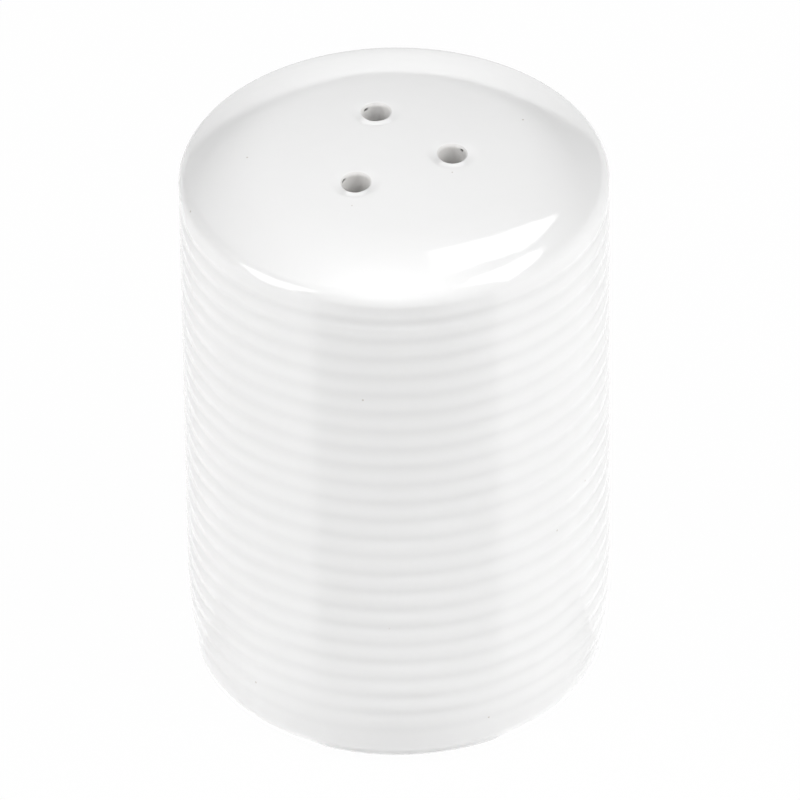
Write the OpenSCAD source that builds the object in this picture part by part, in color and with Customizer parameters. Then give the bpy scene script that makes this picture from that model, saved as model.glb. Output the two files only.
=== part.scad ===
// Table salt shaker: a ribbed porcelain drum with three pour holes in its crown.
// It is filled from below, through a hole that a soft stopper closes.
// Sizes are in millimetres. The origin is the middle of the foot ring's standing face, with +Z up.

/* [Body] */
// Outside diameter over the crests of the ribs
body_d = 50; // [42:0.5:62]
// Overall height, from the table to the top of the crown
body_h = 72; // [58:0.5:90]
// Thickness of the wall and of the crown
wall = 4; // [3:0.1:5]
// Radius of the shallow dome in the middle of the crown
crown_r = 160; // [100:5:250]
// Distance from the axis at which the crown starts to fall away faster
haunch_start_r = 15; // [8:0.5:18]
// Radius of that faster curve
haunch_r = 30; // [20:1:60]
// Radius of the edge where the crown meets the wall
shoulder_r = 2; // [1:0.1:5]
// Radius inside the chamber, where its wall meets the crown and the floor
chamber_corner_r = 3.5; // [2:0.1:6]

/* [Ribs] */
// Height from one groove to the next
groove_pitch = 2.6; // [2:0.05:4]
// Depth of a groove below the crests of the ribs
groove_depth = 0.25; // [0.1:0.01:0.4]
// Plain height between the shoulder and the highest rib's crest
plain_above = 0.9; // [0.1:0.1:4]
// Least plain height between the foot's edge and the lowest rib's crest
plain_below = 0.9; // [0.1:0.1:4]

/* [Foot] */
// Height at which the wall starts to draw in towards the foot
heel_h = 14; // [6:0.5:20]
// Radius of that slow inward curve
heel_r = 90; // [60:5:200]
// Radius of the edge between the wall and the foot
foot_edge_r = 3; // [1.5:0.1:4]
// Width of the flat ring that the shaker stands on
foot_w = 3; // [2:0.1:4]
// Depth of the recess inside the foot ring
recess_h = 2.8; // [2.4:0.1:4]
// Radius between the recess's wall and its ceiling
recess_corner_r = 1.5; // [0.5:0.1:2]

/* [Filling hole] */
// Diameter of the filling hole
filler_d = 20; // [14:0.5:24]
// Thickness of the floor round the filling hole
floor_t = 4; // [3:0.1:6]
// Radius of the softened edges of the filling hole and of the foot's inner edge
soft_edge_r = 0.8; // [0.3:0.1:1.2]

/* [Pour holes] */
// Diameter of each pour hole
pour_d = 3.2; // [2:0.1:4.5]
// Radius of the glazed rim of each pour hole
pour_rim_r = 0.6; // [0.3:0.1:1]
// Distance of each hand-pierced hole from the axis
pour_offsets = [7.7, 6.8, 7.7]; // [5:0.1:10]
// Direction of each hole round the axis, counted from +X towards +Y
pour_angles = [105, -8.5, -125]; // [-180:0.5:180]

/* [Stopper] */
// Width of the flange that seats round the filling hole
flange_lip = 3; // [2:0.1:3.5]
// Thickness of the flange
flange_t = 1.6; // [1:0.1:1.8]
// Length of the plug above the flange
plug_l = 9; // [7:0.1:12]
// How much smaller the radius of the plug is at its tip
plug_lead_in = 0.9; // [0.2:0.1:1.5]
// Thickness of the stopper's soft wall
stopper_wall = 1.7; // [1:0.1:2.5]
// Radius of the stopper's rounded tip and of the bottom of its cup
tip_r = 1; // [0.4:0.1:1.5]
// Gap all round between the plug and the filling hole
plug_gap = 0.08; // [0.03:0.01:0.1]

/* [Hidden] */

// Curves are drawn with this many sides, and cuts run this far past what they cut
$fn = 96;
past = 1;

// Half planes reach further than any edge of the part
reach = body_d + body_h;

// Sizes that nothing else fixes are kept to the nearest thousandth
fine = 0.001;
function near(size) = round(size / fine) * fine;

body_r = body_d / 2;
filler_r = filler_d / 2;
pour_r = pour_d / 2;

// Centre of the haunch, whose arc is tangent to the dome
haunch_tilt = asin(haunch_start_r / crown_r);
haunch_at = [0, body_h - crown_r] + (crown_r - haunch_r) * [sin(haunch_tilt), cos(haunch_tilt)];

// Centre height of a round that touches a wall at r, and from inside an arc of radius arc_r at arc_at
function round_z(r, round_r, arc_r, arc_at) =
    arc_at.y + sqrt(pow(arc_r - round_r, 2) - pow(r - round_r - arc_at.x, 2));

// Distance from the axis at which that arc runs over into the round
function round_start_r(r, round_r, arc_r, arc_at) =
    arc_at.x + (r - round_r - arc_at.x) * arc_r / (arc_r - round_r);

// How far the wall has drawn in at height z
function heel_inset(z) = z < heel_h ? near(pow(heel_h - z, 2) / (2 * heel_r)) : 0;

// Ribs are counted from the top down, and fill the wall at an even pitch with a groove after each
top_rib_z = near(round_z(body_r, shoulder_r, haunch_r, haunch_at) - plain_above);
groove_count = floor((top_rib_z - foot_edge_r - plain_below) / groove_pitch);
function rib_z(i) = top_rib_z - i * groove_pitch;
low_rib_z = rib_z(groove_count);

// Each rib is an arc whose ends lie groove_depth below its crest
rib_r = near((pow(groove_pitch / 2, 2) + pow(groove_depth, 2)) / (2 * groove_depth));

foot_flat_r = body_r - heel_inset(foot_edge_r) - foot_edge_r;
recess_r = foot_flat_r - foot_w;
chamber_r = body_r - wall;
chamber_z = recess_h + floor_t;
chamber_top_z = body_h - wall;

flange_r = filler_r + flange_lip;
flange_z = recess_h - flange_t;
plug_r = filler_r - plug_gap;
plug_top_z = recess_h + plug_l;
cup_r = plug_r - stopper_wall;
cup_top_z = plug_top_z - stopper_wall;

// Moves to a point in two steps, so that points where curves meet keep every digit
module place(at) {
    first = [near(at.x), near(at.y)];
    translate(first) translate(at - first) children();
}

// Rectangle between two corners
module between(low, high) {
    intersection() {
        place(low) square(reach);
        place(high - [reach, reach]) square(reach);
    }
}

// Quarter of a disc at the origin, on the side that right and up name
module quarter_disc(r, right, up) {
    intersection() {
        circle(r);
        translate([right ? 0 : -2 * r, up ? 0 : -2 * r]) square(2 * r);
    }
}

// Half section of a shoulder: an arc from start_r on, the round after it, and the wall down to low_z
module shoulder(r, round_r, arc_r, arc_at, start_r, low_z) {
    centre_z = round_z(r, round_r, arc_r, arc_at);
    end_r = round_start_r(r, round_r, arc_r, arc_at);
    intersection() {
        place(arc_at) circle(arc_r);
        between([start_r, low_z], [end_r, arc_at.y + arc_r + past]);
    }
    intersection() {
        place([r - round_r, centre_z]) circle(round_r);
        between([end_r, centre_z], [r + past, centre_z + round_r + past]);
    }
    between([end_r, low_z], [r, centre_z]);
}

// Half section of the crown, down to the crest of the highest rib
module crown() {
    intersection() {
        translate([0, body_h - crown_r]) circle(crown_r);
        between([0, top_rib_z], [haunch_start_r, body_h + past]);
    }
    shoulder(body_r, shoulder_r, haunch_r, haunch_at, haunch_start_r, top_rib_z);
}

// Section that softens the edge of a bore of radius r, in a plate that lies above z = 0
module soft_mouth(r) {
    difference() {
        translate([r - past, -past]) square(soft_edge_r + past);
        translate([r + soft_edge_r, soft_edge_r]) circle(soft_edge_r);
    }
}

// Disc of one rib, whose crest lies on the wall's curve at height z
module rib_disc(z) {
    translate([body_r - heel_inset(z) - rib_r, z]) circle(rib_r);
}

// Half section of the ribbed wall, whose core runs on into the crown and the heel
module ribbed_wall() {
    between([0, low_rib_z - past], [foot_flat_r, top_rib_z + past]);
    intersection() {
        for (i = [0 : groove_count]) rib_disc(rib_z(i));
        between([0, low_rib_z], [body_r + past, top_rib_z]);
    }
}

// Half section of the heel, from the lowest rib to the standing face
module heel() {
    edge_r = foot_flat_r + foot_edge_r;
    polygon([
        [0, foot_edge_r],
        [edge_r, foot_edge_r],
        [body_r - heel_inset(low_rib_z), low_rib_z],
        [0, low_rib_z]
    ]);
    square([foot_flat_r, foot_edge_r]);
    translate([foot_flat_r, foot_edge_r]) quarter_disc(foot_edge_r, true, false);
}

// Half section of the salt chamber
module chamber() {
    inner_r = chamber_r - chamber_corner_r;
    corner_z = chamber_z + chamber_corner_r;
    ceiling_r = crown_r - wall;
    shoulder(chamber_r, chamber_corner_r, ceiling_r, [0, chamber_top_z - ceiling_r], 0, corner_z);
    translate([0, chamber_z]) square([inner_r, chamber_corner_r]);
    translate([inner_r, corner_z]) quarter_disc(chamber_corner_r, true, false);
}

// Half section of the recess inside the foot ring
module recess() {
    inner_r = recess_r - recess_corner_r;
    corner_z = recess_h - recess_corner_r;
    translate([0, -past]) square([recess_r, corner_z + past]);
    translate([0, corner_z]) square([inner_r, recess_corner_r]);
    translate([inner_r, corner_z]) quarter_disc(recess_corner_r, true, true);
    soft_mouth(recess_r);
}

// Half section of the filling hole, with both of its edges softened
module filling_hole() {
    translate([0, recess_h - past]) square([filler_r, floor_t + 2 * past]);
    translate([0, recess_h]) soft_mouth(filler_r);
    translate([0, chamber_z]) mirror([0, 1]) soft_mouth(filler_r);
}

// Pour hole, square to the crown, with a rim that the glaze has rounded
module pour_hole(offset_r, angle) {
    rotate(angle)
        translate([0, 0, body_h - crown_r])
        rotate([0, asin(offset_r / crown_r), 0])
        translate([0, 0, crown_r]) {
            translate([0, 0, -wall - past]) cylinder(r = pour_r, h = wall + 2 * past);
            rotate_extrude() pour_rim();
        }
}

// Section of the flare at the mouth of a pour hole
module pour_rim() {
    mouth_r = pour_r + pour_rim_r;
    difference() {
        translate([0, -pour_rim_r]) square([mouth_r, pour_rim_r + past]);
        translate([mouth_r, -pour_rim_r]) circle(pour_rim_r);
    }
}

module shaker_body() {
    color([0.94, 0.94, 0.93])
    difference() {
        rotate_extrude()
        difference() {
            union() {
                crown();
                ribbed_wall();
                heel();
            }
            chamber();
            recess();
            filling_hole();
        }
        for (i = [0 : len(pour_angles) - 1]) pour_hole(pour_offsets[i], pour_angles[i]);
    }
}

// Half section of the stopper's flange, with a round edge
module flange() {
    edge_r = flange_t / 2;
    translate([0, flange_z]) square([flange_r - edge_r, flange_t]);
    intersection() {
        translate([flange_r - edge_r, flange_z + edge_r]) circle(edge_r);
        translate([flange_r - edge_r, flange_z - past]) square([flange_t, flange_t + 2 * past]);
    }
}

// Half section of a plug: straight through the floor, drawn in to a rounded tip above it
module plug(r, low_z, top_z) {
    tip_z = top_z - tip_r;
    end_r = r - plug_lead_in;
    translate([0, low_z]) square([r, chamber_z - low_z]);
    polygon([
        [0, chamber_z],
        [r, chamber_z],
        [end_r, tip_z],
        [0, tip_z]
    ]);
    translate([0, tip_z]) square([end_r - tip_r, tip_r]);
    translate([end_r - tip_r, tip_z]) quarter_disc(tip_r, true, true);
}

module filler_stopper() {
    color([0.88, 0.90, 0.90])
    rotate_extrude()
    difference() {
        union() {
            flange();
            plug(plug_r, flange_z, plug_top_z);
        }
        plug(cup_r, flange_z - past, cup_top_z);
        translate([0, flange_z]) soft_mouth(cup_r);
    }
}

shaker_body();
filler_stopper();
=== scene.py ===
# %% [markdown]
# # A ribbed porcelain salt shaker
#
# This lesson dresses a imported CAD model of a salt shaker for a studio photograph. The real object is
# one slip-cast, glazed porcelain drum with three pour holes in its crown, and a soft stopper that closes
# the filling hole in its foot. The CAD model gives the frame: every Blender piece is made in metres,
# in the place that the CAD node already has, and rides on that node's body.

# %% Load the frame
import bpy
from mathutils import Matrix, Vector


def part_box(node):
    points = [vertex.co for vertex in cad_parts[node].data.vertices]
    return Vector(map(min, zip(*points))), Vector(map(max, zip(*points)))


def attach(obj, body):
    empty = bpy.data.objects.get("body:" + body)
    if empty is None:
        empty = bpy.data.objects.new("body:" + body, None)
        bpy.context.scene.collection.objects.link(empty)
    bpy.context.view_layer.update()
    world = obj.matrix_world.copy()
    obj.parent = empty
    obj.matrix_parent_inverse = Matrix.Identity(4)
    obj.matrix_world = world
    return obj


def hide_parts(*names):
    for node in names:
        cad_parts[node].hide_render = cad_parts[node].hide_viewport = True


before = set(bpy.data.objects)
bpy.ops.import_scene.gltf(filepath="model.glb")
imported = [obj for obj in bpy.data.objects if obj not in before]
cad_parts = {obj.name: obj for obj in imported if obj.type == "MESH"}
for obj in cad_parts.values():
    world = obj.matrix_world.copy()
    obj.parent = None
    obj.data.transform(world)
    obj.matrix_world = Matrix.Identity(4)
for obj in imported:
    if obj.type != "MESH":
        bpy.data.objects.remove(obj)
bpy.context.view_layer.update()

from math import asin, atan2, cos, degrees, exp, hypot, pi, radians, sin, sqrt

import bpy
from mathutils import Quaternion, Vector, noise
from mathutils.bvhtree import BVHTree

# %% [markdown]
# ## The camera
#
# The photograph looks down on the shaker from 37 degrees, through a long lens: the drum's sides stay
# almost parallel. The camera could be placed by eye, but a small tilt shows at once on a round rim, so
# its place, aim and roll come from fitting the drum's outline and its grooves.

# %% Camera
MM = 0.001
SENSOR = 36.0
LENS = 576.0
CAMERA_AIM = Vector((0.36, -0.29, 35.6)) * MM
CAMERA_DISTANCE = 1.5
CAMERA_PITCH = radians(37.2)
CAMERA_ROLL = 0.0125

camera_data = bpy.data.cameras.new("photo_camera")
camera_data.sensor_width = SENSOR
camera_data.lens = LENS
camera = bpy.data.objects.new("photo_camera", camera_data)
bpy.context.collection.objects.link(camera)
look = Vector((0, cos(CAMERA_PITCH), -sin(CAMERA_PITCH)))
camera.rotation_mode = "QUATERNION"
camera.rotation_quaternion = look.to_track_quat("-Z", "Y") @ Quaternion((0, 0, 1), -CAMERA_ROLL)
camera.location = CAMERA_AIM - look * CAMERA_DISTANCE
bpy.context.scene.camera = camera
bpy.context.scene.view_settings.view_transform = "Standard"
print("camera", [round(c, 3) for c in camera.location], "lens", LENS)

# %% [markdown]
# ## Studio light
#
# A photographer lights a glossy object twice: lamps give the light, and what the glaze mirrors is set apart
# from that, further down. So no lamp here shows in reflections. The first is a small disc under the table,
# no wider than the foot. It keeps the underside from being black and leaves the walls alone.

# %% Foot light
FOOT_LAMP_R = 20 * MM
FOOT_LAMP_Z = -45 * MM
FOOT_LAMP_BRIGHTNESS = 1.6


def hidden_lamp(name, shape, size):
    lamp = bpy.data.lights.new(name, "AREA")
    lamp.shape = shape
    lamp.size = size
    light = bpy.data.objects.new(name, lamp)
    bpy.context.collection.objects.link(light)
    light.visible_camera = light.visible_glossy = False
    return lamp, light


foot_lamp, foot_light = hidden_lamp("foot_light", "DISK", 2 * FOOT_LAMP_R)
foot_lamp.energy = FOOT_LAMP_BRIGHTNESS * (pi * FOOT_LAMP_R) ** 2
foot_light.location = (0, 0, FOOT_LAMP_Z)
foot_light.rotation_euler = (pi, 0, 0)
print("foot light watts", round(foot_lamp.energy, 4))

# %% [markdown]
# Softboxes light the walls: one on each side and a weaker one in front. A rectangular area lamp is a
# softbox. It is placed by the direction in which the shaker sees it, its sizes are shares of its distance,
# and the helper works out its watts from how bright its face is.

# %% Softboxes
AIM = Vector((0, 0, 70)) * MM
BOX_DISTANCE = 1.2
SOFTBOXES = {
    "left_box": dict(azimuth=-68, elevation=35, width=0.6, height=1.1, brightness=2.65),
    "right_box": dict(azimuth=68, elevation=39, width=0.6, height=1.1, brightness=3.3),
    "front_box": dict(azimuth=0, elevation=35, width=0.8, height=0.5, brightness=1.3),
}


def toward(azimuth, elevation):
    turn, rise = radians(azimuth), radians(elevation)
    return Vector((sin(turn) * cos(rise), -cos(turn) * cos(rise), sin(rise)))


def softbox(name, azimuth, elevation, width, height, brightness):
    lamp, box = hidden_lamp(name, "RECTANGLE", width * BOX_DISTANCE)
    lamp.size_y = height * BOX_DISTANCE
    lamp.energy = brightness * pi * lamp.size * lamp.size_y
    way = toward(azimuth, elevation)
    box.location = AIM + BOX_DISTANCE * way
    box.rotation_mode = "QUATERNION"
    box.rotation_quaternion = (-way).to_track_quat("-Z", "Y")
    print("softbox", name, "watts", round(lamp.energy, 2))


for name, settings in SOFTBOXES.items():
    softbox(name, **settings)

# %% [markdown]
# ## Room and table
#
# The photograph's background is pure white. The world is white for what the camera and reflections see,
# and a plain grey for the light it gives. The table is pale, mostly white to the camera, and keeps the
# shaker's shadow. Seen from below it is clear, so that the foot can be looked at.

# %% Helpers for node trees


def new_node(tree, kind, **inputs):
    node = tree.nodes.new(kind)
    for name, value in inputs.items():
        node.inputs[name.replace("_", " ")].default_value = value
    return node


def maths(tree, operation, first, second):
    node = tree.nodes.new("ShaderNodeMath")
    node.operation = operation
    for socket, value in zip(node.inputs, (first, second)):
        if isinstance(value, (int, float)):
            socket.default_value = value
        else:
            tree.links.new(value, socket)
    return node.outputs[0]


def seen_directly(tree):
    path = tree.nodes.new("ShaderNodeLightPath")
    seen = maths(tree, "MAXIMUM", path.outputs["Is Camera Ray"], path.outputs["Is Glossy Ray"])
    return maths(tree, "MAXIMUM", seen, path.outputs["Is Transmission Ray"])


def mix_shaders(tree, factor, first, second):
    mix = tree.nodes.new("ShaderNodeMixShader")
    tree.links.new(factor, mix.inputs[0])
    tree.links.new(first, mix.inputs[1])
    tree.links.new(second, mix.inputs[2])
    return mix.outputs[0]


def empty_material(name):
    material = bpy.data.materials.new(name)
    material.use_nodes = True
    material.node_tree.nodes.clear()
    return material, material.node_tree, material.node_tree.nodes.new("ShaderNodeOutputMaterial")


# %% World
ROOM_LIGHT = 0.19

world = bpy.data.worlds.new("white_room")
bpy.context.scene.world = world
world.use_nodes = True
room = world.node_tree
room.nodes.clear()
white = new_node(room, "ShaderNodeBackground", Color=(1, 1, 1, 1), Strength=1.0)
fill = new_node(room, "ShaderNodeBackground", Color=(1, 1, 1, 1), Strength=ROOM_LIGHT)
room_out = room.nodes.new("ShaderNodeOutputWorld")
room.links.new(
    mix_shaders(room, seen_directly(room), fill.outputs[0], white.outputs[0]),
    room_out.inputs["Surface"],
)
print("world light", ROOM_LIGHT)

# %% Table
TABLE_SIDE = 4.0
TABLE_COLOUR = (0.78, 0.78, 0.78, 1)
TABLE_ROUGHNESS = 0.5
TABLE_WHITE = 0.98

bpy.ops.mesh.primitive_plane_add(size=TABLE_SIDE)
table_top = bpy.context.object
table_top.name = "table_top"
table_paint, tree, table_out = empty_material("table_white")
paint = new_node(
    tree, "ShaderNodeBsdfPrincipled", Base_Color=TABLE_COLOUR, Roughness=TABLE_ROUGHNESS
)
glow = new_node(tree, "ShaderNodeEmission", Color=(1, 1, 1, 1), Strength=1.0)
clear = tree.nodes.new("ShaderNodeBsdfTransparent")
geometry = tree.nodes.new("ShaderNodeNewGeometry")
lifted = maths(tree, "MULTIPLY", seen_directly(tree), TABLE_WHITE)
top_side = mix_shaders(tree, lifted, paint.outputs[0], glow.outputs[0])
tree.links.new(
    mix_shaders(tree, geometry.outputs["Backfacing"], top_side, clear.outputs[0]),
    table_out.inputs["Surface"],
)
table_top.data.materials.append(table_paint)
table_top.visible_glossy = False
table_top.visible_shadow = False
print("table", TABLE_SIDE, "m")

# %% [markdown]
# ## What the glaze mirrors
#
# Glaze mirrors only a few per cent, so the surroundings have to be bright or dark for it to tell. All of
# them are painted on a dome that only reflections see: each of its points gets a brightness from its
# direction. Photographed surroundings would need a picture file, and formulas are easier to adjust. Three
# small helpers come first: a soft step, a hump and a blend.

# %% Soft steps


def soft_step(value, low, high):
    share = min(1.0, max(0.0, (value - low) / (high - low)))
    return share * share * (3 - 2 * share)


def hump(value, middle, width):
    return exp(-(((value - middle) / width) ** 2))


def blend(level, other, cover):
    return level + (other - level) * cover


print("a soft step at a quarter", soft_step(0.25, 0, 1), "a hump one width off", round(hump(1, 0, 1), 3))

# %% [markdown]
# Behind the shaker stands a white sweep that glows in the middle. Above the sweep the studio is dark, down to
# the table on the left. Angles are degrees; behind is 0 straight behind the shaker and grows to the left.

# %% Sweep and dark studio
SWEEP_WHITE = 1.10
SWEEP_GLOW = 0.85
SWEEP_GLOW_RISE = 0.052
SWEEP_GLOW_WIDTH = 16.0
SWEEP_TOP = 16.0
SWEEP_ARCH = 4.8
SWEEP_ARCH_WIDTH = 16
SWEEP_DROP = 21
SWEEP_DROPS = (24, 50)
SWEEP_EDGE_SOFT = 2
DARK_LEVEL = 0.15
DARK_ENDS_LEFT = (50, 90)
DARK_ENDS_RIGHT = (95, 125)


def sweep_level(behind, elevation):
    glow = max(0.0, SWEEP_GLOW + SWEEP_GLOW_RISE * min(elevation, SWEEP_TOP + SWEEP_ARCH))
    return SWEEP_WHITE + glow * hump(behind, 0, SWEEP_GLOW_WIDTH)


def dark_cover(behind, elevation):
    arch = SWEEP_ARCH * hump(behind, 0, SWEEP_ARCH_WIDTH)
    edge = SWEEP_TOP + arch - SWEEP_DROP * soft_step(behind, *SWEEP_DROPS)
    sides = (1 - soft_step(behind, *DARK_ENDS_LEFT)) * (1 - soft_step(-behind, *DARK_ENDS_RIGHT))
    return sides * soft_step(elevation, edge - SWEEP_EDGE_SOFT, edge + SWEEP_EDGE_SOFT)


print("sweep levels", [round(sweep_level(behind, 10), 2) for behind in (-40, -20, 0, 20, 40)])

# %% [markdown]
# Overhead hangs a long white cloth with a lamp behind it. On both sides the table shows the pictures of the
# side boxes, which makes the wall lighter there. Straight below the level is low, because a camera high
# above would otherwise see the wall clip to white.

# %% Cloth, table and all levels
CLOTH_WHITE = 3.6
CLOTH_HALF = (0.93, 3.6)
CLOTH_SHIFT = (0.1, 0.1)
CLOTH_LOWEST = 0.1
CLOTH_LAMP = 2.0
CLOTH_LAMP_WAY = toward(180, 84)
CLOTH_LAMP_WIDTH = 12.0
LEFT_PICTURE = 22.5
RIGHT_PICTURE = 27.5
PICTURE_SOFT = 3.0
PICTURE_FADE = 32.0
PICTURE_GLOW = 1.15
FAR_TABLE = 1.12
FAR_TURNS = (55, 80)
TABLE_STARTS = (0.05, 0.25)
UNDER_LEVEL = 0.35
UNDER_STARTS = (68, 80)


def cloth_cover(way):
    if way.z < CLOTH_LOWEST:
        return 0.0
    across, back = way.x / way.z + CLOTH_SHIFT[0], way.y / way.z + CLOTH_SHIFT[1]
    return max(0.0, 1 - hypot(across / CLOTH_HALF[0], back / CLOTH_HALF[1]))


def table_level(way, level):
    turn = degrees(atan2(way.x, cos(CAMERA_PITCH) - way.y))
    inside = LEFT_PICTURE if turn < 0 else RIGHT_PICTURE
    beyond = abs(turn) - inside
    fade = exp(-max(0.0, beyond) / PICTURE_FADE)
    level += PICTURE_GLOW * fade * soft_step(beyond, -PICTURE_SOFT, PICTURE_SOFT)
    return blend(level, FAR_TABLE, soft_step(abs(turn), *FAR_TURNS))


def mirrored_level(azimuth, elevation):
    way, behind = toward(azimuth, elevation), azimuth % 360 - 180
    level = blend(sweep_level(behind, elevation), DARK_LEVEL, dark_cover(behind, elevation))
    level = blend(level, CLOTH_WHITE, cloth_cover(way))
    level += CLOTH_LAMP * hump(degrees(way.angle(CLOTH_LAMP_WAY)), 0, CLOTH_LAMP_WIDTH)
    level = blend(level, table_level(way, SWEEP_WHITE), soft_step(-way.z, *TABLE_STARTS))
    return blend(level, UNDER_LEVEL, soft_step(-elevation, *UNDER_STARTS))


behind_levels = [round(mirrored_level(180, elevation), 2) for elevation in (10, 25, 40, 60, 80)]
print("mirrored levels, upwards behind the shaker", behind_levels)

# %% [markdown]
# The dome is a globe of quads round the shaker. Its brightness goes into a colour attribute of the mesh, and
# one material sends that out as light. The camera, soft light and shadows don't see it.

# %% Dome
DOME_DISTANCE = 1.6
DOME_STEP = 2

mirrored_light, tree, mirrored_out = empty_material("mirrored_light")
brightness = tree.nodes.new("ShaderNodeAttribute")
brightness.attribute_name = "brightness"
shine = tree.nodes.new("ShaderNodeEmission")
tree.links.new(brightness.outputs["Color"], shine.inputs["Color"])
tree.links.new(shine.outputs[0], mirrored_out.inputs["Surface"])


def seen_in_glaze(name, ways, faces, levels):
    mesh = bpy.data.meshes.new(name)
    mesh.from_pydata([tuple(AIM + way) for way in ways], [], faces)
    colours = mesh.attributes.new("brightness", "FLOAT_COLOR", "POINT")
    colours.data.foreach_set("color", [c for level in levels for c in (level, level, level, 1.0)])
    mesh.materials.append(mirrored_light)
    shell = bpy.data.objects.new(name, mesh)
    bpy.context.collection.objects.link(shell)
    shell.visible_camera = shell.visible_diffuse = shell.visible_shadow = False


dome_turns = range(0, 360, DOME_STEP)
dome_rises = range(-90, 91, DOME_STEP)
dome_grid = [(turn, rise) for rise in dome_rises for turn in dome_turns]
dome_faces = []
for row in range(len(dome_rises) - 1):
    for column in range(len(dome_turns)):
        nearby = (column + 1) % len(dome_turns)
        low, high = row * len(dome_turns), (row + 1) * len(dome_turns)
        dome_faces.append((low + column, low + nearby, high + nearby, high + column))
seen_in_glaze(
    "studio_dome",
    [DOME_DISTANCE * toward(*at) for at in dome_grid],
    dome_faces,
    [mirrored_level(*at) for at in dome_grid],
)
print("studio dome faces", len(dome_faces))

# %% [markdown]
# The sharp white streaks on the shoulder are panes of light: a slanted one high behind on the right, a
# long one on the right and one on the left. Their corners are directions, found from where the streaks
# have theirs.

# %% Panes
PANE_WHITE = 6.0
PANES = {
    "high_pane": [(145, 45), (171, 62), (152, 74), (137, 57)],
    "right_pane": [(133, 54), (127, 71), (59, 68), (57, 19)],
    "left_pane": [(-85, 18), (-39, 38), (-50, -2), (-66, -14)],
}

for name, corners in PANES.items():
    ways = [BOX_DISTANCE * toward(*corner) for corner in corners]
    seen_in_glaze(name, ways, [range(4)], [PANE_WHITE] * 4)
print("panes", len(PANES))

# %% [markdown]
# Two things on the table are so near that they show on one part of the wall only. Both are painted on
# sheets that only reflections see. Round the foot lies the painted shade of the shaker itself, which darkens
# the lowest ribs in front. Further off the table ends, and a dark sheet painted beyond its edge, for the
# dark room, shows as a dark band in the highest ribs.

# %% Shade on the table and the table's edge
SHADE_R = (26.0, 38.0)
SHADE_FRONT = (0.2, 1.1)
SHADE_SIDE = (1.3, 2.0)
SHADE_WIDTH = 26.0
SHADE_HALF = 85
EDGE_Y = -106.0
EDGE_FAR_Y = -260.0
EDGE_HALF = 90.0
ON_TABLE_Z = 0.3


def on_table(x, y):
    return Vector((x, y, ON_TABLE_Z)) * MM - AIM


shade_ways, shade_levels, shade_faces = [], [], []
for turn in range(-SHADE_HALF, SHADE_HALF + 1):
    for r, front, side in zip(SHADE_R, SHADE_FRONT, SHADE_SIDE):
        shade_ways.append(on_table(r * sin(radians(turn)), -r * cos(radians(turn))))
        level = blend(side, front, hump(turn, 0, SHADE_WIDTH))
        shade_levels.append(blend(level, FAR_TABLE, soft_step(abs(turn), FAR_TURNS[0], SHADE_HALF)))
for k in range(2 * SHADE_HALF):
    shade_faces.append((2 * k, 2 * k + 1, 2 * k + 3, 2 * k + 2))
seen_in_glaze("foot_shade", shade_ways, shade_faces, shade_levels)
edge_corners = [(-EDGE_HALF, EDGE_Y), (EDGE_HALF, EDGE_Y)]
edge_corners += [(EDGE_HALF, EDGE_FAR_Y), (-EDGE_HALF, EDGE_FAR_Y)]
seen_in_glaze("beyond_table", [on_table(*at) for at in edge_corners], [range(4)], [DARK_LEVEL] * 4)
print("foot shade and table edge", SHADE_R, EDGE_Y)

# %% [markdown]
# ## Sizes of the drum
#
# The drum's radius and height come from the frame. The other sizes are those of the CAD model, in
# millimetres, because a potter would write them that way; the mesh helper turns them into metres.

# %% Drum sizes
drum_low, drum_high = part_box("shaker_body")
BODY_R = (drum_high.x - drum_low.x) / 2 / MM
BODY_H = drum_high.z / MM
WALL = 4.0
CROWN_R = 160.0
HAUNCH_START_R = 15.0
HAUNCH_R = 30.0
SHOULDER_R = 2.0
CHAMBER_CORNER_R = 3.5
GROOVE_PITCH = 2.6
GROOVE_DEPTH = 0.25
PLAIN_ABOVE = 0.9
PLAIN_BELOW = 0.9
HEEL_H = 14.0
HEEL_R = 90.0
FOOT_EDGE_R = 3.0
FOOT_W = 3.0
RECESS_H = 2.8
RECESS_CORNER_R = 1.5
FILLER_R = 10.0
FLOOR_T = 4.0
SOFT_EDGE_R = 0.8


def round_z(r, round_r, arc_r, arc_at):
    return arc_at[1] + sqrt((arc_r - round_r) ** 2 - (r - round_r - arc_at[0]) ** 2)


def heel_inset(z):
    return (HEEL_H - z) ** 2 / (2 * HEEL_R) if z < HEEL_H else 0.0


HAUNCH_TILT = asin(HAUNCH_START_R / CROWN_R)
HAUNCH_AT = (
    (CROWN_R - HAUNCH_R) * sin(HAUNCH_TILT),
    BODY_H - CROWN_R + (CROWN_R - HAUNCH_R) * cos(HAUNCH_TILT),
)
TOP_RIB_Z = round_z(BODY_R, SHOULDER_R, HAUNCH_R, HAUNCH_AT) - PLAIN_ABOVE
GROOVE_COUNT = int((TOP_RIB_Z - FOOT_EDGE_R - PLAIN_BELOW) / GROOVE_PITCH)
LOW_RIB_Z = TOP_RIB_Z - GROOVE_COUNT * GROOVE_PITCH
FOOT_FLAT_R = BODY_R - heel_inset(FOOT_EDGE_R) - FOOT_EDGE_R
RECESS_R = FOOT_FLAT_R - FOOT_W
CHAMBER_R = BODY_R - WALL
CHAMBER_Z = RECESS_H + FLOOR_T
print("drum", round(2 * BODY_R, 2), "x", round(BODY_H, 2), "mm,", GROOVE_COUNT, "grooves")

# %% [markdown]
# ## The drum's outline
#
# A drum is turned, so its mesh is an outline spun about the axis. A Screw modifier would spin it too,
# but the pour holes and the slightly uneven grooves need each point of each ring, so the rings are made
# here. The outline runs from the top of the crown, down the outside, under the foot and back up the chamber.

# %% Outline helpers


def arc(centre_r, centre_z, radius, start, end, steps):
    turns = [radians(start + (end - start) * k / steps) for k in range(steps + 1)]
    return [(centre_r + radius * cos(t), centre_z + radius * sin(t)) for t in turns]


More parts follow.
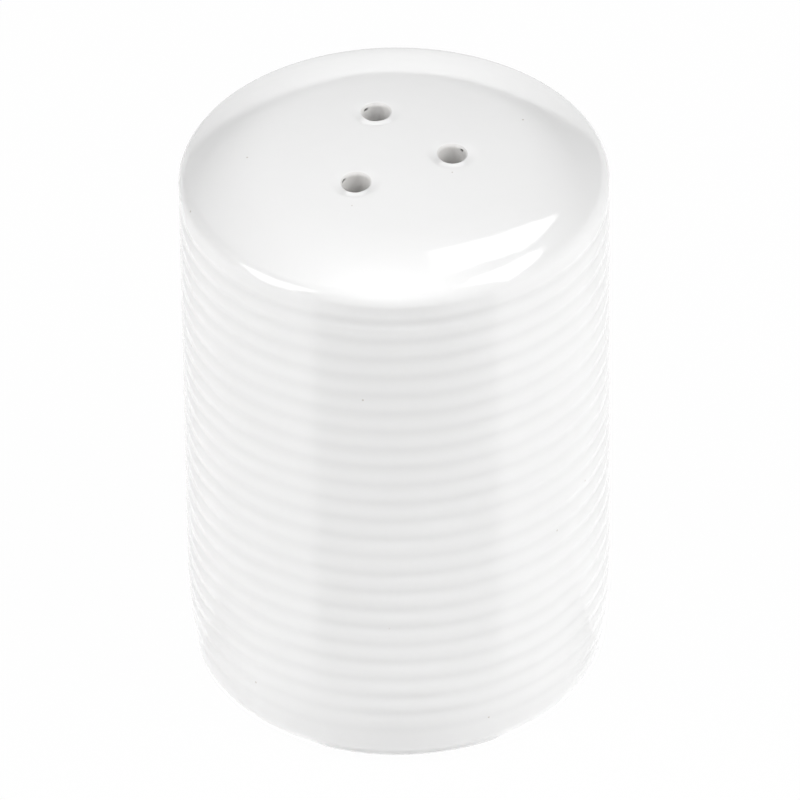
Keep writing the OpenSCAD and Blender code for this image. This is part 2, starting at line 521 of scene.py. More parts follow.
def dome(radii, dome_r, top_z):
    return [(r, top_z - dome_r + sqrt(dome_r**2 - r**2)) for r in radii]


def shoulder(r, round_r, arc_r, arc_at, start_tilt, steps):
    end_tilt = asin((r - round_r - arc_at[0]) / (arc_r - round_r))
    lead = arc(*arc_at, arc_r, 90 - degrees(start_tilt), 90 - degrees(end_tilt), steps)
    z = round_z(r, round_r, arc_r, arc_at)
    return lead[:-1] + arc(r - round_r, z, round_r, 90 - degrees(end_tilt), 0, steps)


print("a quarter round in two steps", [(round(r, 2), round(z, 2)) for r, z in arc(0, 0, 1, 0, 90, 2)])

# %% [markdown]
# Rings lie closest where the shape needs them: every half millimetre where the crown is pierced, twelve to a
# groove on the wall, and a few steps round each soft edge.

# %% Outline of the drum
PIERCED_R = [1, 2, 3] + [3.5 + 0.5 * k for k in range(19)]
LAST_DOME_R = 14
SHOULDER_STEPS = 14
CORNER_STEPS = 8
EDGE_STEPS = 6
RINGS_A_GROOVE = 12
FOOT_RING = 0.4
RECESS_RINGS_R = (14.5, 12.5)
FLOOR_RINGS_R = (13, 15)
CHAMBER_RINGS_Z = range(14, 62, 4)

crown = dome([0] + PIERCED_R + [LAST_DOME_R], CROWN_R, BODY_H)
crown += shoulder(BODY_R, SHOULDER_R, HAUNCH_R, HAUNCH_AT, HAUNCH_TILT, SHOULDER_STEPS)
wall_rings = GROOVE_COUNT * RINGS_A_GROOVE
wall_step = GROOVE_PITCH / RINGS_A_GROOVE
side = [(BODY_R, TOP_RIB_Z - k * wall_step) for k in range(wall_rings + 1)]
side = [(r - heel_inset(z), z) for r, z in side]
foot = arc(FOOT_FLAT_R, FOOT_EDGE_R, FOOT_EDGE_R, 0, -90, SHOULDER_STEPS)
foot += [(FOOT_FLAT_R - FOOT_RING * FOOT_W, 0)]
foot += arc(RECESS_R + SOFT_EDGE_R, SOFT_EDGE_R, SOFT_EDGE_R, 270, 180, EDGE_STEPS)
recess_corner = RECESS_H - RECESS_CORNER_R
recess = arc(RECESS_R - RECESS_CORNER_R, recess_corner, RECESS_CORNER_R, 0, 90, CORNER_STEPS)
recess += [(r, RECESS_H) for r in RECESS_RINGS_R]
mouth_r = FILLER_R + SOFT_EDGE_R
mouth = arc(mouth_r, RECESS_H + SOFT_EDGE_R, SOFT_EDGE_R, 270, 180, EDGE_STEPS)
mouth += arc(mouth_r, CHAMBER_Z - SOFT_EDGE_R, SOFT_EDGE_R, 180, 90, EDGE_STEPS)
floor_r = CHAMBER_R - CHAMBER_CORNER_R
chamber = [(r, CHAMBER_Z) for r in FLOOR_RINGS_R]
chamber += arc(floor_r, CHAMBER_Z + CHAMBER_CORNER_R, CHAMBER_CORNER_R, 270, 360, CORNER_STEPS)
chamber += [(CHAMBER_R, z) for z in CHAMBER_RINGS_Z]
inner_dome_r = CROWN_R - WALL
inner_top = BODY_H - WALL
inner_at = (0, inner_top - inner_dome_r)
inner_tilt = asin(LAST_DOME_R / inner_dome_r)
ceiling = dome([0] + PIERCED_R, inner_dome_r, inner_top)
ceiling += shoulder(CHAMBER_R, CHAMBER_CORNER_R, inner_dome_r, inner_at, inner_tilt, CORNER_STEPS)
outline = crown + side + foot + recess + mouth + chamber + ceiling[::-1]
first_wall_ring = len(crown)
print("outline of", len(outline), "points")

# %% [markdown]
# ## Grooves
#
# The grooves were turned by hand and then filled by glaze, so each has a round bottom, and no two are
# quite level or equally deep. Glaze runs down as it melts, so the lowest grooves are the shallowest and
# the highest the deepest. The depth is a formula of height and direction: an arc from crest to crest, a
# softened distance to the groove's middle, and slow noise that shifts and deepens it.

# %% Groove relief
RIB_R = (GROOVE_PITCH**2 / 4 + GROOVE_DEPTH**2) / (2 * GROOVE_DEPTH)
GROOVE_SOFT = 0.42
GROOVE_WANDER = 0.07
GROOVE_UNEVEN = 0.30
TOP_DEEPER = 0.8
TOP_DEEPER_H = 4.0
RUN_H = 9.0
RUN_FILLS = 0.55
NOISE_ROUND = 1.6
WANDER_NOISE = dict(scale=0.35, seed=7)
UNEVEN_NOISE = dict(scale=0.25, seed=31)


def hand_noise(turn, z, scale, seed):
    return noise.noise(Vector((NOISE_ROUND * cos(turn), NOISE_ROUND * sin(turn), z * scale + seed)))


def groove_depth(turn, z):
    if not LOW_RIB_Z < z < TOP_RIB_Z:
        return 0.0
    fade = min(1, (TOP_RIB_Z - z) / GROOVE_PITCH, (z - LOW_RIB_Z) / GROOVE_PITCH)
    level = z + fade * GROOVE_WANDER * hand_noise(turn, z, **WANDER_NOISE)
    from_crest = (TOP_RIB_Z - level) % GROOVE_PITCH
    from_middle = abs(from_crest - GROOVE_PITCH / 2)
    soft = min(GROOVE_PITCH / 2, hypot(from_middle, GROOVE_SOFT))
    depth = RIB_R - sqrt(RIB_R**2 - (GROOVE_PITCH / 2 - soft) ** 2)
    deeper = TOP_DEEPER * exp((z - TOP_RIB_Z) / TOP_DEEPER_H)
    filled = RUN_FILLS * (1 - soft_step(z - LOW_RIB_Z, 0, RUN_H))
    return depth * (1 + deeper - filled + GROOVE_UNEVEN * hand_noise(turn, z, **UNEVEN_NOISE))


middles = [TOP_RIB_Z - (k + 0.5) * GROOVE_PITCH for k in (0, 5, GROOVE_COUNT - 1)]
print("groove depths, first, sixth and last", [round(groove_depth(0, z), 3) for z in middles], "mm")

# %% [markdown]
# ## Spinning the outline
#
# Each outline point becomes a ring of points, or a single point on the axis. Neighbouring rings are
# joined by quads. The rings stay in lists, so that a patch of the crown can be left open for a pour hole.
# How deep each point lies in a hollow is kept as well, because glaze gathers there, and the finishes
# darken the hollows by it, in part as painted shade.

# %% Rings and quads
SEGMENTS = 192
ON_AXIS = 1e-6


def spin(outline, segments, relief):
    points, rings, pool_and_shade_depths = [], [], []
    for index, (r, z) in enumerate(outline):
        around = 1 if r < ON_AXIS else segments
        rings.append([len(points) + j for j in range(around)])
        for j in range(around):
            turn = 2 * pi * j / segments
            depth = relief(index, turn, z)
            points.append(((r - depth) * cos(turn), (r - depth) * sin(turn), z))
            pool_and_shade_depths.append(depth)
    return points, rings, pool_and_shade_depths


def ring_quads(rings, segments, left_open):
    quads = []
    for i in range(len(rings) - 1):
        upper, lower = rings[i], rings[i + 1]
        for j in range(segments):
            if (i, j) in left_open:
                continue
            corners = [upper[j % len(upper)], lower[j % len(lower)]]
            corners += [lower[(j + 1) % len(lower)], upper[(j + 1) % len(upper)]]
            quads.append(tuple(dict.fromkeys(corners)))
    return quads


def drum_relief(index, turn, z):
    on_wall = first_wall_ring <= index < first_wall_ring + len(side)
    return groove_depth(turn, z) if on_wall else 0.0


points, rings, pool_and_shade_depths = spin(outline, SEGMENTS, drum_relief)
print("drum rings", len(rings), "points", len(points))

# %% [markdown]
# ## Pour holes
#
# The three holes were pierced by hand while the clay was soft. The pin leaned, so it pressed a shallow
# dimple on the near side of each hole, and left the far lip rounder. A Boolean cut would leave ragged
# triangles that glossy glaze shows at once. So a block of the crown is left open, outside and inside, and
# loops of points run from its edge through the dimple, over the lip, down the bore and out again below.
# Each hole has a distance from the axis and an angle; its block is a run of rings and of segments.

# %% Blocks for the pour holes
POUR_R = 1.6
POUR_PLACES = [(7.7, 105), (6.8, -8.5), (7.7, -125)]
BLOCK_REACH = 3.7


def block_of(offset, angle):
    near = [k for k, r in enumerate([0] + PIERCED_R) if abs(r - offset) <= BLOCK_REACH]
    middle = round(angle / 360 * SEGMENTS)
    half = round(asin(BLOCK_REACH / offset) / (2 * pi) * SEGMENTS)
    return near[0], near[-1], middle - half, middle + half


def block_edge(k0, k1, j0, j1):
    edge = [(k, j0) for k in range(k0, k1)] + [(k1, j) for j in range(j0, j1)]
    return edge + [(k, j1) for k in range(k1, k0, -1)] + [(k0, j) for j in range(j1, j0, -1)]


print("blocks for pour holes, rings and segments", [block_of(*place) for place in POUR_PLACES])

# %% [markdown]
# Each function below gives the radius and depth of one loop of a hole. Near is 0 on the far side of the hole
# and about 1 on the near side, more where the pin was pressed harder. The bore and the inner edge are the
# same all round, and take near only so that one list can hold every loop.

# %% Profile of a pour hole
POUR_PRESS = [0.9, 1.2, 1.3]
DIMPLE_R = 3.0
DIMPLE_DEPTH = 0.23
DIMPLE_POWER = 1.25
NEAR_LIP = 0.2
FAR_LIP = 0.45
POUR_INNER_R = 0.35
COLLAR_STEPS = (0.35, 0.7, 1.0)
DIMPLE_STEPS = 8
RIM_STEPS = 9
BORE_STEPS = (0.55, 0.6, 0.66, 0.75, 0.9, 1.2, 1.8, 2.4, 3.0)


def sag_at(radius):
    return radius**2 / (2 * CROWN_R)


def lip_of(near):
    tilt = atan2(DIMPLE_POWER * DIMPLE_DEPTH * near, DIMPLE_R - POUR_R)
    lip = blend(FAR_LIP, NEAR_LIP, near)
    return tilt, lip, POUR_R + lip * (1 - sin(tilt))


def dimple_loop(share, near):
    radius = blend(DIMPLE_R, lip_of(near)[2], share)
    return radius, sag_at(radius) + DIMPLE_DEPTH * near * share**DIMPLE_POWER


def lip_loop(share, near):
    tilt, lip, lip_r = lip_of(near)
    bend = blend(tilt, pi / 2, share)
    start = sag_at(lip_r) + DIMPLE_DEPTH * near
    return POUR_R + lip * (1 - sin(bend)), start + lip * (cos(tilt) - cos(bend))


def bore_loop(depth, near):
    return POUR_R, depth


def inner_loop(share, near):
    bend = share * pi / 2
    return POUR_R + POUR_INNER_R * (1 - cos(bend)), WALL - POUR_INNER_R * (1 - sin(bend))


hole_profile = [(dimple_loop, (k + 1) / DIMPLE_STEPS) for k in range(DIMPLE_STEPS)]
hole_profile += [(lip_loop, (k + 1) / RIM_STEPS) for k in range(RIM_STEPS)]
hole_profile += [(bore_loop, depth) for depth in BORE_STEPS]
hole_profile += [(inner_loop, k / RIM_STEPS) for k in range(RIM_STEPS + 1)]
print("pour hole loops", len(COLLAR_STEPS) + len(hole_profile))

# %% [markdown]
# No pierced hole is quite round, and under each lip the clay tore a little as the pin came out. A tear has
# a direction and a half width, both in degrees round its hole.

# %% Uneven rims and tears
POUR_UNEVEN = 0.05
TEAR_WAYS = [(32, 13), (53, 7), (-82, 18)]
TEAR_DEPTH = 0.5
TEAR_Z = 0.47
TEAR_HALF_H = 0.15


def uneven(way, angle):
    return 1 + POUR_UNEVEN * noise.noise(Vector((cos(way), sin(way), angle)))


def tear(way, depth, tear_way, tear_span):
    around = degrees(atan2(sin(way - radians(tear_way)), cos(way - radians(tear_way)))) / tear_span
    down = (depth - TEAR_Z) / TEAR_HALF_H
    return TEAR_DEPTH * max(0.0, 1 - around**2) * max(0.0, 1 - down**2)


print("deepest tear", tear(radians(TEAR_WAYS[0][0]), TEAR_Z, *TEAR_WAYS[0]), "mm")

# %% [markdown]
# A hole stands square to the crown. Its loops keep one point for each point of the block's edge, in the same
# direction, so they join without a twist. The first loops stay on the dome, as a collar round the dimple.

# %% Pour hole loops
ceiling_first = len(outline) - 1


def crown_point(x, y, dome_r, top_z):
    return Vector((x, y, top_z - dome_r + sqrt(dome_r**2 - x * x - y * y)))


def pour_hole(offset, angle, press, tear_way, tear_span):
    k0, k1, j0, j1 = block_of(offset, angle)
    edge = block_edge(k0, k1, j0, j1)
    outer = [rings[k][j % SEGMENTS] for k, j in edge]
    inner = [rings[ceiling_first - k][j % SEGMENTS] for k, j in edge]
    turn = radians(angle)
    centre = crown_point(offset * cos(turn), offset * sin(turn), CROWN_R, BODY_H)
    axis = (centre - Vector((0, 0, BODY_H - CROWN_R))).normalized()
    across = Vector((-sin(turn), cos(turn), 0))
    out = across.cross(axis)
    from_centre = [Vector(points[index]) - centre for index in outer]
    ways = [atan2(away.dot(across), away.dot(out)) for away in from_centre]

    def loop_of(profile, step):
        loop, torn = [], []
        for way in ways:
            radius, depth = profile(step, press * (1 - sin(turn + way)) / 2)
            torn.append(tear(way, depth, tear_way, tear_span))
            reach = radius * uneven(way, angle) + torn[-1]
            loop.append(centre + reach * (cos(way) * out + sin(way) * across) - depth * axis)
        return loop, torn

    rim = loop_of(dimple_loop, 0)[0]
    chain = []
    for step in COLLAR_STEPS:
        between = [Vector(points[index]).lerp(at, step) for index, at in zip(outer, rim)]
        chain.append(([crown_point(at.x, at.y, CROWN_R, BODY_H) for at in between], [0.0] * len(ways)))
    chain += [loop_of(*step) for step in hole_profile]
    opened = {(k, j % SEGMENTS) for k in range(k0, k1) for j in range(j0, j1)}
    return opened, outer, inner, chain


first_hole = pour_hole(*POUR_PLACES[0], POUR_PRESS[0], *TEAR_WAYS[0])
print("first pour hole", len(first_hole[1]), "points a loop,", len(first_hole[0]), "quads left open")

# %% [markdown]
# The loops of a hole are joined to each other by quads, from the crown's open edge down to the chamber's. The
# same block is left open in the ceiling below.

# %% Joining the loops


def join_loops(outer, inner, chain):
    loops = [outer]
    for loop, torn in chain:
        loops.append([len(points) + k for k in range(len(loop))])
        points.extend(tuple(p) for p in loop)
        pool_and_shade_depths.extend(torn)
    loops.append(inner)
    faces = []
    count = len(outer)
    for above, below in zip(loops, loops[1:]):
        for k in range(count):
            n = (k + 1) % count
            faces.append((above[k], above[n], below[n], below[k]))
    return faces


left_open, hole_faces = set(), []
for place, press, torn in zip(POUR_PLACES, POUR_PRESS, TEAR_WAYS):
    opened, *hole = pour_hole(*place, press, *torn)
    left_open |= opened
    left_open |= {(ceiling_first - k - 1, j) for k, j in opened}
    hole_faces += join_loops(*hole)
print("pour holes", len(POUR_PLACES), "faces", len(hole_faces))

# %% [markdown]
# ## The drum's mesh
#
# Points and quads become one closed mesh. Points that only the open blocks used are dropped, and the depth of
# the hollows goes along as an attribute for the finishes. The drum stands for its CAD node and rides on that
# node's body. How far it strays from the CAD surface is measured.

# %% Drum mesh
FULL_HOLLOW = 0.15


def piece_from(name, points, faces, pool_and_shade_depths):
    used = sorted({index for face in faces for index in face})
    renumbered = {index: k for k, index in enumerate(used)}
    mesh = bpy.data.meshes.new(name)
    mesh.from_pydata(
        [tuple(c * MM for c in points[index]) for index in used],
        [],
        [[renumbered[index] for index in face] for face in faces],
    )
    mesh.validate()
    hollow = mesh.attributes.new("hollow", "FLOAT", "POINT")
    hollow.data.foreach_set("value", [min(1.0, pool_and_shade_depths[index] / FULL_HOLLOW) for index in used])
    mesh.shade_smooth()
    piece = bpy.data.objects.new(name, mesh)
    bpy.context.collection.objects.link(piece)
    return piece


drum_faces = ring_quads(rings, SEGMENTS, left_open) + hole_faces
drum = piece_from("porcelain_drum", points, drum_faces, pool_and_shade_depths)
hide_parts("shaker_body")
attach(drum, "body")


def furthest_from_cad(piece, node):
    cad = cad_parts[node].data
    tree = BVHTree.FromPolygons([v.co for v in cad.vertices], [p.vertices for p in cad.polygons])
    return max(tree.find_nearest(v.co)[3] for v in piece.data.vertices) / MM


drum_off = round(furthest_from_cad(drum, "shaker_body"), 3)
print("drum faces", len(drum.data.polygons), "from CAD", drum_off, "mm")

# %% [markdown]
# ## The stopper
#
# The stopper is one soft moulding: a flange that seats round the filling hole and a hollow plug that
# squeezes into it. It is turned as well, so the same spin makes it. In the middle of its cup stands the
# small stub where the mould was filled.

# %% Stopper outline
FLANGE_R = 13.0
FLANGE_T = 1.6
PLUG_R = 9.92
PLUG_TOP_Z = 11.8
PLUG_LEAD_IN = 0.9
STOPPER_WALL = 1.7
TIP_R = 1.0
STUB_R = 0.9
STUB_H = 0.3
STUB_EDGE = 0.1
TOP_RINGS_R = (0, 3, 6)
PLUG_RINGS_Z = (CHAMBER_Z, RECESS_H + 2, RECESS_H)
FLANGE_RING_R = 11
FLANGE_STEPS = 12
CUP_RINGS_R = (4, 2)

flange_z = RECESS_H - FLANGE_T
tip = PLUG_R - PLUG_LEAD_IN - TIP_R
stopper_outline = [(r, PLUG_TOP_Z) for r in TOP_RINGS_R]
stopper_outline += arc(tip, PLUG_TOP_Z - TIP_R, TIP_R, 90, 0, CORNER_STEPS)
stopper_outline += [(PLUG_R, z) for z in PLUG_RINGS_Z] + [(FLANGE_RING_R, RECESS_H)]
round_r = FLANGE_T / 2
stopper_outline += arc(FLANGE_R - round_r, RECESS_H - round_r, round_r, 90, -90, FLANGE_STEPS)
cup_r = PLUG_R - STOPPER_WALL
cup_top = PLUG_TOP_Z - STOPPER_WALL
stub_top = cup_top - STUB_H
stopper_outline += [(FLANGE_RING_R, flange_z)]
stopper_outline += arc(cup_r + SOFT_EDGE_R, flange_z + SOFT_EDGE_R, SOFT_EDGE_R, 270, 180, EDGE_STEPS)
stopper_outline += [(cup_r, CHAMBER_Z)]
stopper_outline += arc(cup_r - PLUG_LEAD_IN - TIP_R, cup_top - TIP_R, TIP_R, 0, 90, CORNER_STEPS)
stopper_outline += [(r, cup_top) for r in (*CUP_RINGS_R, STUB_R + STUB_EDGE)]
stopper_outline += [(STUB_R, cup_top - STUB_EDGE), (STUB_R, stub_top + STUB_EDGE)]
stopper_outline += [(STUB_R - STUB_EDGE, stub_top), (0, stub_top)]
print("stopper outline of", len(stopper_outline), "points")

# %% Stopper mesh
STOPPER_SEGMENTS = 128

points_of_stopper, stopper_rings, no_hollows = spin(
    stopper_outline, STOPPER_SEGMENTS, lambda index, turn, z: 0.0
)
stopper_faces = ring_quads(stopper_rings, STOPPER_SEGMENTS, ())
stopper = piece_from("silicone_stopper", points_of_stopper, stopper_faces, no_hollows)
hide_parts("filler_stopper")
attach(stopper, "stopper")
stopper_off = round(furthest_from_cad(stopper, "filler_stopper"), 3)
print("stopper faces", len(stopper.data.polygons), "from CAD", stopper_off, "mm")

# %% [markdown]
# ## Effects that the finishes share
#
# Fired clay, glaze and moulded silicone are never one flat colour: the tone drifts in soft clouds, the
# surface carries a faint relief, and what is handled gets rubbed. These effects are node groups, built
# once, so that each finish only sets its own scale and strength.

# %% Helper for node groups


def new_group(name, inputs, outputs):
    group = bpy.data.node_groups.new(name, "ShaderNodeTree")
    for socket, kind, value in inputs:
        group.interface.new_socket(socket, in_out="INPUT", socket_type=kind).default_value = value
    for socket, kind in outputs:
        group.interface.new_socket(socket, in_out="OUTPUT", socket_type=kind)
    print("node group", name, "gives", [socket for socket, kind in outputs])
    return group, group.nodes.new("NodeGroupInput").outputs, group.nodes.new("NodeGroupOutput").inputs


NOISE_ROUGHNESS = 0.55


def object_noise(tree, scale, detail):
    place = tree.nodes.new("ShaderNodeTexCoord")
    texture = new_node(tree, "ShaderNodeTexNoise", Detail=detail, Roughness=NOISE_ROUGHNESS)
    tree.links.new(place.outputs["Object"], texture.inputs["Vector"])
    tree.links.new(scale, texture.inputs["Scale"])
    return texture.outputs["Fac"]


def shaded(tree, colour, factor):
    scaled = tree.nodes.new("ShaderNodeVectorMath")
    scaled.operation = "SCALE"
    tree.links.new(colour, scaled.inputs[0])
    tree.links.new(factor, scaled.inputs["Scale"])
    return scaled.outputs[0]


def smooth_step(tree, value, low, high):
    step = new_node(tree, "ShaderNodeMapRange", From_Min=low, From_Max=high)
    step.interpolation_type = "SMOOTHSTEP"
    tree.links.new(value, step.inputs["Value"])
    return step.outputs["Result"]


# %% [markdown]
# The first group lets a tone drift. It takes a colour, the size of the clouds and how much they shade it,
# and also hands out the clouds themselves, so that a finish can let its roughness drift with them.

# %% Cloudy tone
COLOUR, NUMBER = "NodeSocketColor", "NodeSocketFloat"
CLOUD_DETAIL = 3.0

cloudy_tone, given, gives = new_group(
    "cloudy_tone",
    [("Tone", COLOUR, (0.8, 0.8, 0.8, 1)), ("Scale", NUMBER, 100.0), ("Amount", NUMBER, 0.1)],
    [("Colour", COLOUR), ("Cloud", NUMBER)],
)
cloud = object_noise(cloudy_tone, given["Scale"], CLOUD_DETAIL)
drift = maths(cloudy_tone, "MULTIPLY", maths(cloudy_tone, "SUBTRACT", cloud, 0.5), given["Amount"])
cloudy_tone.links.new(
    shaded(cloudy_tone, given["Tone"], maths(cloudy_tone, "ADD", drift, 1.0)), gives["Colour"]
)
cloudy_tone.links.new(cloud, gives["Cloud"])

# %% [markdown]
# The second group adds two sizes of relief: slow ripples, as glaze and moulds leave, and a finer grain. The
# third finds patches where a surface was rubbed: only the highest parts of a rough noise.

# %% Fine relief
RIPPLE_DETAIL = 1.0
GRAIN_DETAIL = 2.0

fine_relief, given, gives = new_group(
    "fine_relief",
    [("Ripple Scale", NUMBER, 300.0), ("Grain Scale", NUMBER, 4000.0), ("Grain Share", NUMBER, 0.2)],
    [("Height", NUMBER)],
)
ripple = object_noise(fine_relief, given["Ripple Scale"], RIPPLE_DETAIL)
grain = object_noise(fine_relief, given["Grain Scale"], GRAIN_DETAIL)
grain = maths(fine_relief, "MULTIPLY", grain, given["Grain Share"])
fine_relief.links.new(maths(fine_relief, "ADD", ripple, grain), gives["Height"])

# %% Rubbed marks
RUB_DETAIL = 6.0
RUB_EDGE = (0.5, 0.7)

rubbed_marks, given, gives = new_group(
    "rubbed_marks", [("Scale", NUMBER, 200.0), ("Amount", NUMBER, 0.5)], [("Mask", NUMBER)]
)
rub = smooth_step(rubbed_marks, object_noise(rubbed_marks, given["Scale"], RUB_DETAIL), *RUB_EDGE)
rubbed_marks.links.new(maths(rubbed_marks, "MULTIPLY", rub, given["Amount"]), gives["Mask"])

# %% [markdown]
# ## Finishes
#
# Every finish is put together the same way: a colour and a roughness that drift with the same clouds, and a
# relief that goes through a Bump node into one Principled shader. The helpers do that part.

# %% Helpers for finishes


def use_group(tree, group, **inputs):
    node = tree.nodes.new("ShaderNodeGroup")
    node.node_tree = group
    for name, value in inputs.items():
        node.inputs[name.replace("_", " ")].default_value = value
    return node.outputs


def mixed_colour(tree, factor, first, second):
    mix = tree.nodes.new("ShaderNodeMix")
    mix.data_type = "RGBA"
    tree.links.new(factor, mix.inputs["Factor"])
    tree.links.new(first, mix.inputs["A"])
    mix.inputs["B"].default_value = second
    return mix.outputs["Result"]


def drifting_roughness(tree, cloud, spread, least):
    return maths(tree, "ADD", maths(tree, "MULTIPLY", cloud, spread), least)


def hollow_depth(tree):
    depth = tree.nodes.new("ShaderNodeAttribute")
    depth.attribute_name = "hollow"
    return depth.outputs["Fac"]


def finish_skin(tree, output, colour, roughness, height, bump):
    skin = tree.nodes.new("ShaderNodeBsdfPrincipled")
    relief = new_node(tree, "ShaderNodeBump", Strength=bump[0], Distance=bump[1] * MM)
    tree.links.new(colour, skin.inputs["Base Color"])
    tree.links.new(roughness, skin.inputs["Roughness"])
    tree.links.new(height, relief.inputs["Height"])
    tree.links.new(relief.outputs["Normal"], skin.inputs["Normal"])
    tree.links.new(skin.outputs[0], output.inputs["Surface"])
    return skin


# %% [markdown]
# ## Glaze
#
# The glaze is a clear, glossy glass over white clay: a sharp reflection over a soft white. It gathers in
# the grooves, so the mesh carries the hollows' depth as an attribute, and the colour is darkened by it: in
# part for the deeper glaze, in part as painted shade in the grooves. Tiny iron specks burn through any white
# glaze. They come from a Voronoi pattern: only the cells whose random value is high keep a speck, and only
# its very middle shows.

# %% Glaze material
PORCELAIN = (0.878, 0.878, 0.876, 1)
GLAZE_ROUGHNESS = dict(spread=0.05, least=0.04)
GLAZE_BUMP = (0.05, 0.3)
SPECK_COLOUR = (0.60, 0.57, 0.53, 1)
SPECK_SCALE = 260.0
SPECK_ABOVE = 0.55
SPECK_EDGE = (0.045, 0.02)
# How much the deepest hollows darken: in part deeper glaze, in part painted shade in the grooves.
POOL_AND_PAINTED_SHADE = 0.06

glaze, tree, glaze_out = empty_material("clear_glaze_on_porcelain")
tone = use_group(tree, cloudy_tone, Tone=PORCELAIN, Scale=90.0, Amount=0.03)
# Painted shade: the colour darkens with hollow depth, in part for the deeper glaze, in part as shade.
glaze_pool_and_painted_shade = maths(tree, "SUBTRACT", 1.0, maths(tree, "MULTIPLY", hollow_depth(tree), POOL_AND_PAINTED_SHADE))
place = tree.nodes.new("ShaderNodeTexCoord")
cells = new_node(tree, "ShaderNodeTexVoronoi", Scale=SPECK_SCALE)
tree.links.new(place.outputs["Object"], cells.inputs["Vector"])
chance = tree.nodes.new("ShaderNodeSeparateColor")
tree.links.new(cells.outputs["Color"], chance.inputs[0])
speck = maths(
    tree,
    "MULTIPLY",
    maths(tree, "GREATER_THAN", chance.outputs[0], SPECK_ABOVE),
    smooth_step(tree, cells.outputs["Distance"], *SPECK_EDGE),
)
glaze_colour = mixed_colour(tree, speck, shaded(tree, tone["Colour"], glaze_pool_and_painted_shade), SPECK_COLOUR)
glaze_roughness = drifting_roughness(tree, tone["Cloud"], **GLAZE_ROUGHNESS)
peel = use_group(tree, fine_relief, Ripple_Scale=420.0, Grain_Scale=2600.0, Grain_Share=0.15)
finish_skin(tree, glaze_out, glaze_colour, glaze_roughness, peel["Height"], GLAZE_BUMP)
drum.data.materials.append(glaze)
print(glaze.name, "has", len(tree.nodes), "nodes")

# %% [markdown]
# ## Bare clay
#
# Glaze would stick the foot to the kiln shelf, so the standing face is wiped bare before firing, and it
# hardly gets into the chamber and the pour holes, where it draws back from the edge. Bare porcelain is
# matt, a little warmer, and picks up grey marks. The torn spots under the lips are painted nearly black,
# as painted shade in their pockets.

# %% Bare clay material
BISCUIT = (0.75, 0.74, 0.726, 1)
BISCUIT_ROUGHNESS = dict(spread=0.15, least=0.68)
BISCUIT_BUMP = (0.5, 0.08)
RUB_GREY = (0.60, 0.595, 0.59, 1)
# Painted shade for the torn spots under the lips.
TEAR_PAINTED_SHADE = (0.06, 0.055, 0.05, 1)

biscuit, tree, biscuit_out = empty_material("bare_biscuit_clay")
tone = use_group(tree, cloudy_tone, Tone=BISCUIT, Scale=140.0, Amount=0.10)
rub = use_group(tree, rubbed_marks, Scale=260.0, Amount=0.55)
rubbed = mixed_colour(tree, rub["Mask"], tone["Colour"], RUB_GREY)
# Painted shade: the torn spots go nearly black with their depth.
biscuit_colour = mixed_colour(tree, hollow_depth(tree), rubbed, TEAR_PAINTED_SHADE)
biscuit_roughness = drifting_roughness(tree, tone["Cloud"], **BISCUIT_ROUGHNESS)
sand = use_group(tree, fine_relief, Ripple_Scale=900.0, Grain_Scale=6000.0, Grain_Share=0.6)
finish_skin(tree, biscuit_out, biscuit_colour, biscuit_roughness, sand["Height"], BISCUIT_BUMP)
drum.data.materials.append(biscuit)
print(biscuit.name, "has", len(tree.nodes), "nodes")

# %% [markdown]
# The bare faces take the drum's second material slot. They are chosen by where they lie: on the standing
# face, in the chamber, in a bore out to where the glaze begins, or in a tear. Painting weights by hand
# would do it too, but a rule holds when the sizes change.

# %% Bare faces
FAR_BARE = 0.3
NEAR_BARE = 0.06
STANDING_Z = 0.015
SKIN = 0.01
TORN_ABOVE = 0.5


def in_bore(x, y):
    for offset, angle in POUR_PLACES:
        turn = radians(angle)
        away_x, away_y = x - offset * cos(turn), y - offset * sin(turn)
        away = hypot(away_x, away_y)
        edge = blend(FAR_BARE, NEAR_BARE, (1 - away_y / away) / 2)
        if away / uneven(atan2(away_y, away_x) - turn, angle) < POUR_R + edge:
            return True
    return False


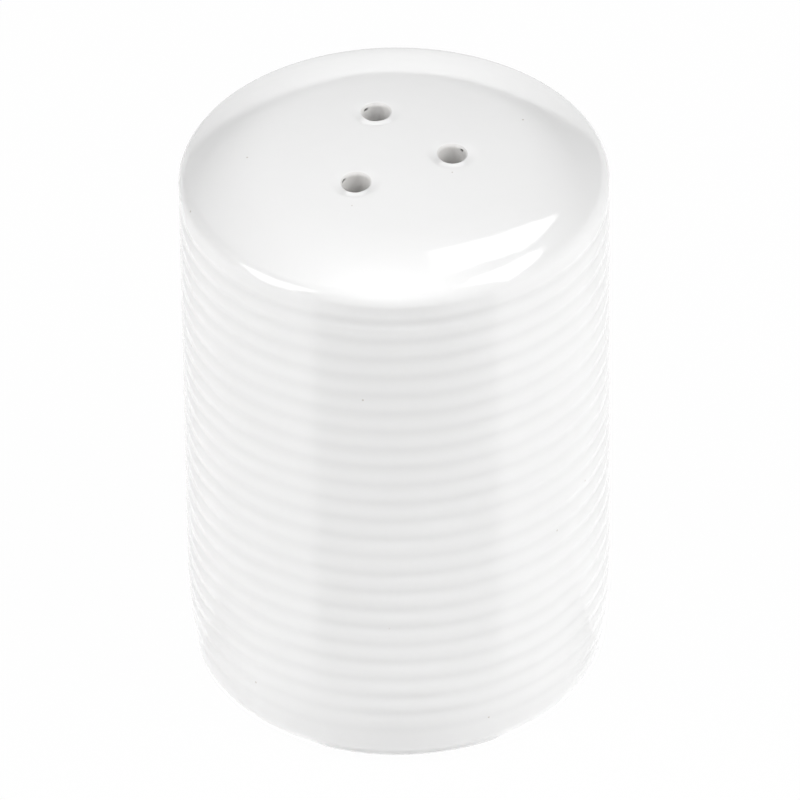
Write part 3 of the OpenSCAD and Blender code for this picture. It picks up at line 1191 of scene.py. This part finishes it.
def is_bare(centre):
    x, y, z = centre / MM
    r = hypot(x, y)
    under_ceiling = z < inner_at[1] + sqrt(inner_dome_r**2 - r**2) + SKIN
    in_chamber = r < CHAMBER_R + SKIN and z > CHAMBER_Z - SKIN and under_ceiling
    return z < STANDING_Z or in_chamber or (r < CHAMBER_R and z > CHAMBER_Z and in_bore(x, y))


hollow = [point.value for point in drum.data.attributes["hollow"].data]
for face in drum.data.polygons:
    on_crown = face.center.z / MM > TOP_RIB_Z
    torn = on_crown and max(hollow[index] for index in face.vertices) > TORN_ABOVE
    face.material_index = int(torn or is_bare(face.center))
print("bare faces", sum(face.material_index for face in drum.data.polygons))

# %% [markdown]
# ## Silicone
#
# The stopper is moulded in milky, slightly see-through silicone with a satin skin. Light goes a little
# way into it, which the Principled shader's subsurface gives. Fine marks of the mould and of handling
# keep it from looking like plastic fresh out of a catalogue.

# %% Silicone material
SILICONE = (0.80, 0.82, 0.81, 1)
SILICONE_ROUGHNESS = dict(spread=0.15, least=0.34)
SILICONE_BUMP = (0.25, 0.08)
SUBSURFACE = {"Weight": 0.35, "Radius": (1.0, 1.0, 0.9), "Scale": 1.5 * MM}
DUST_GREY = (0.70, 0.70, 0.68, 1)

silicone, tree, silicone_out = empty_material("satin_silicone")
tone = use_group(tree, cloudy_tone, Tone=SILICONE, Scale=160.0, Amount=0.05)
dust = use_group(tree, rubbed_marks, Scale=320.0, Amount=0.25)
silicone_colour = mixed_colour(tree, dust["Mask"], tone["Colour"], DUST_GREY)
silicone_roughness = drifting_roughness(tree, tone["Cloud"], **SILICONE_ROUGHNESS)
mould = use_group(tree, fine_relief, Ripple_Scale=500.0, Grain_Scale=5000.0, Grain_Share=0.5)
soft_skin = finish_skin(
    tree, silicone_out, silicone_colour, silicone_roughness, mould["Height"], SILICONE_BUMP
)
for name, value in SUBSURFACE.items():
    soft_skin.inputs["Subsurface " + name].default_value = value
stopper.data.materials.append(silicone)
print("materials", [material.name for material in bpy.data.materials if material.users])
